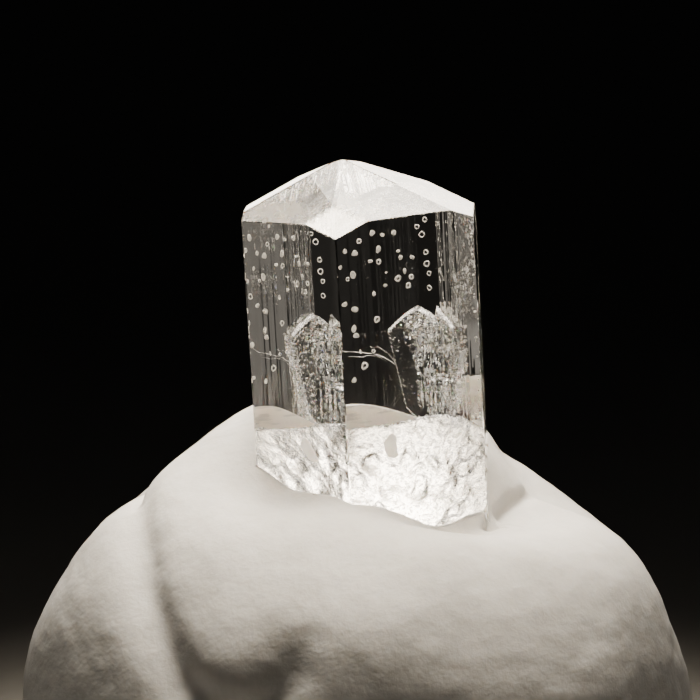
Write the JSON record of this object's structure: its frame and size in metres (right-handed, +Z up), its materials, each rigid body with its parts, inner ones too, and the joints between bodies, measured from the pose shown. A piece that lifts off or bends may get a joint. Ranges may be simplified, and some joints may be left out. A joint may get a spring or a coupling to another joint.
{
  "type": "phenakite crystal on mounting putty",
  "caption": "Clear six-sided mineral crystal with a low pointed head, held upright in a rounded ball of white mounting putty for display.",
  "frame": {"origin": "centre of the putty's flat base, which is the surface that it stands on", "axes": "+Z up, -Y towards the viewer of the front edge of the crystal, +X to that viewer's right"},
  "size_m": [0.0204, 0.0192, 0.0212],
  "materials": {
    "clear_crystal": "polished",
    "white_putty": "matte"
  },
  "bodies": {
    "root": {"crystal": "clear_crystal", "putty": "white_putty"}
  },
  "joints": []
}
